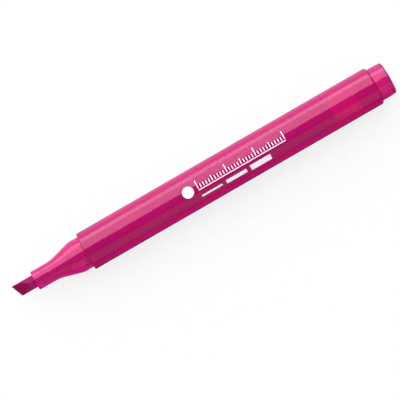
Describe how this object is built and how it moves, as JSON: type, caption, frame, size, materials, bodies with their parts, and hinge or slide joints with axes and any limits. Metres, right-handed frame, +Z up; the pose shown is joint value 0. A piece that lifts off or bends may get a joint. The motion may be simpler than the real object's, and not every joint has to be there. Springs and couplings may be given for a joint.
{
  "type": "highlighter",
  "caption": "Slim chisel-tip highlighter without its cap: clear pink barrel, flared nose section, felt nib, fibre ink reservoir in its film and stepped end plug.",
  "frame": {"origin": "on the surface that the barrel rests on, under the middle of the pen's length", "axes": "+X along the pen from nib to end plug, +Z up, so that one flat facet of the nib and the print face up; +Y towards the long corner of the slanted writing edge"},
  "size_m": [0.1296, 0.0122, 0.0122],
  "materials": {
    "clear_pink_plastic": "clear tinted plastic, moulded gloss",
    "nib_felt": "dense felt soaked with ink",
    "reservoir_fibre": "bundled polyester fibre soaked with ink",
    "clear_film": "thin clear film",
    "white_ink": "opaque pad print"
  },
  "bodies": {
    "pen": {"barrel": "clear_pink_plastic", "nose_section": "clear_pink_plastic", "ink_reservoir": "reservoir_fibre", "reservoir_film": "clear_film", "barrel_print": "white_ink"},
    "nib": {"chisel_nib": "nib_felt"},
    "plug": {"end_plug": "clear_pink_plastic"}
  },
  "joints": [
    {"name": "nib_pull", "type": "slide", "parent": "pen", "child": "nib", "axis": [-1, 0, 0], "range_m": [0, 0.024]},
    {"name": "plug_pull", "type": "slide", "parent": "pen", "child": "plug", "axis": [1, 0, 0], "range_m": [0, 0.01]}
  ]
}
